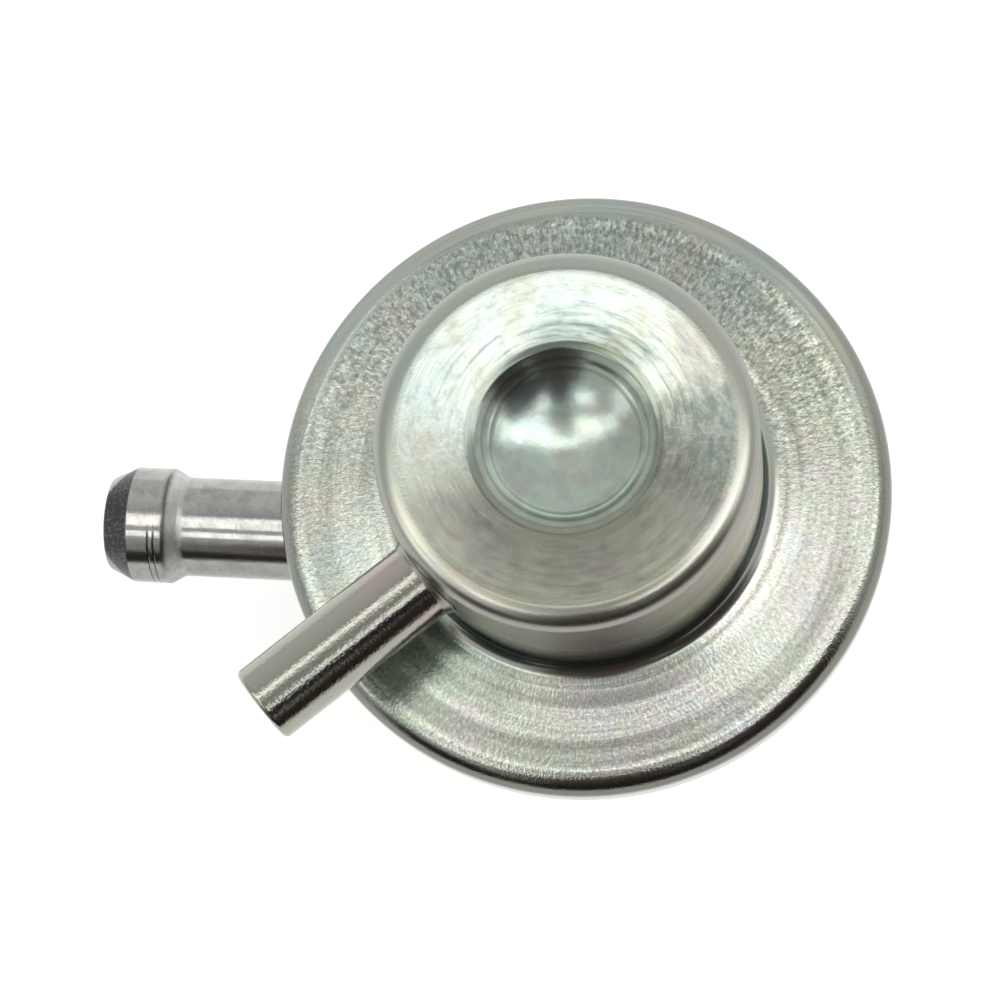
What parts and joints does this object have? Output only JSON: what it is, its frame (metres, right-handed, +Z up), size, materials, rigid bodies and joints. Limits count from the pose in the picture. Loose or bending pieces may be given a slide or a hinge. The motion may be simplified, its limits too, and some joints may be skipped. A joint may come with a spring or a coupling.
{
  "type": "fuel pressure regulator",
  "caption": "Crimped steel fuel pressure regulator with a spring cup, side vacuum nipple, radial inlet spigot, axial return spigot and a sprung diaphragm valve.",
  "frame": {"origin": "on the regulator's axis, in the middle of the return spigot's bead", "axes": "+Z up along the regulator's axis towards the spring cup, -X along the inlet pipe"},
  "size_m": [0.062, 0.0444, 0.0652],
  "materials": {
    "zinc_steel": "clear zinc plate with faint iridescence",
    "nickel_tube": "bright drawn tube",
    "turned_steel": "bare turned steel",
    "inner_steel": "plain pressed steel",
    "spring_steel": "oil-tempered wire",
    "membrane": "fabric-backed rubber",
    "brass": "turned brass"
  },
  "bodies": {
    "casing": {"upper_cover": "zinc_steel", "vacuum_nipple": "nickel_tube", "nipple_braze": "zinc_steel", "spring_seat": "inner_steel", "main_spring": "spring_steel", "diaphragm": "membrane", "valve_seat": "brass", "lower_housing": "zinc_steel", "inlet_pipe": "turned_steel", "inlet_braze": "zinc_steel", "return_pipe": "turned_steel", "return_braze": "zinc_steel"},
    "valve": {"spring_plate": "inner_steel", "rivet_washer": "inner_steel", "support_plate": "inner_steel", "valve_holder": "brass", "ball_spring": "spring_steel", "valve_ball": "inner_steel", "ball_retainer": "inner_steel"}
  },
  "joints": [
    {"name": "valve_lift", "type": "slide", "parent": "casing", "child": "valve", "axis": [0, 0, 1], "range_m": [0, 0.0008], "stiffness_N_per_m": 1000, "springref_m": -0.0005, "deforming": ["main_spring", "diaphragm"]}
  ]
}
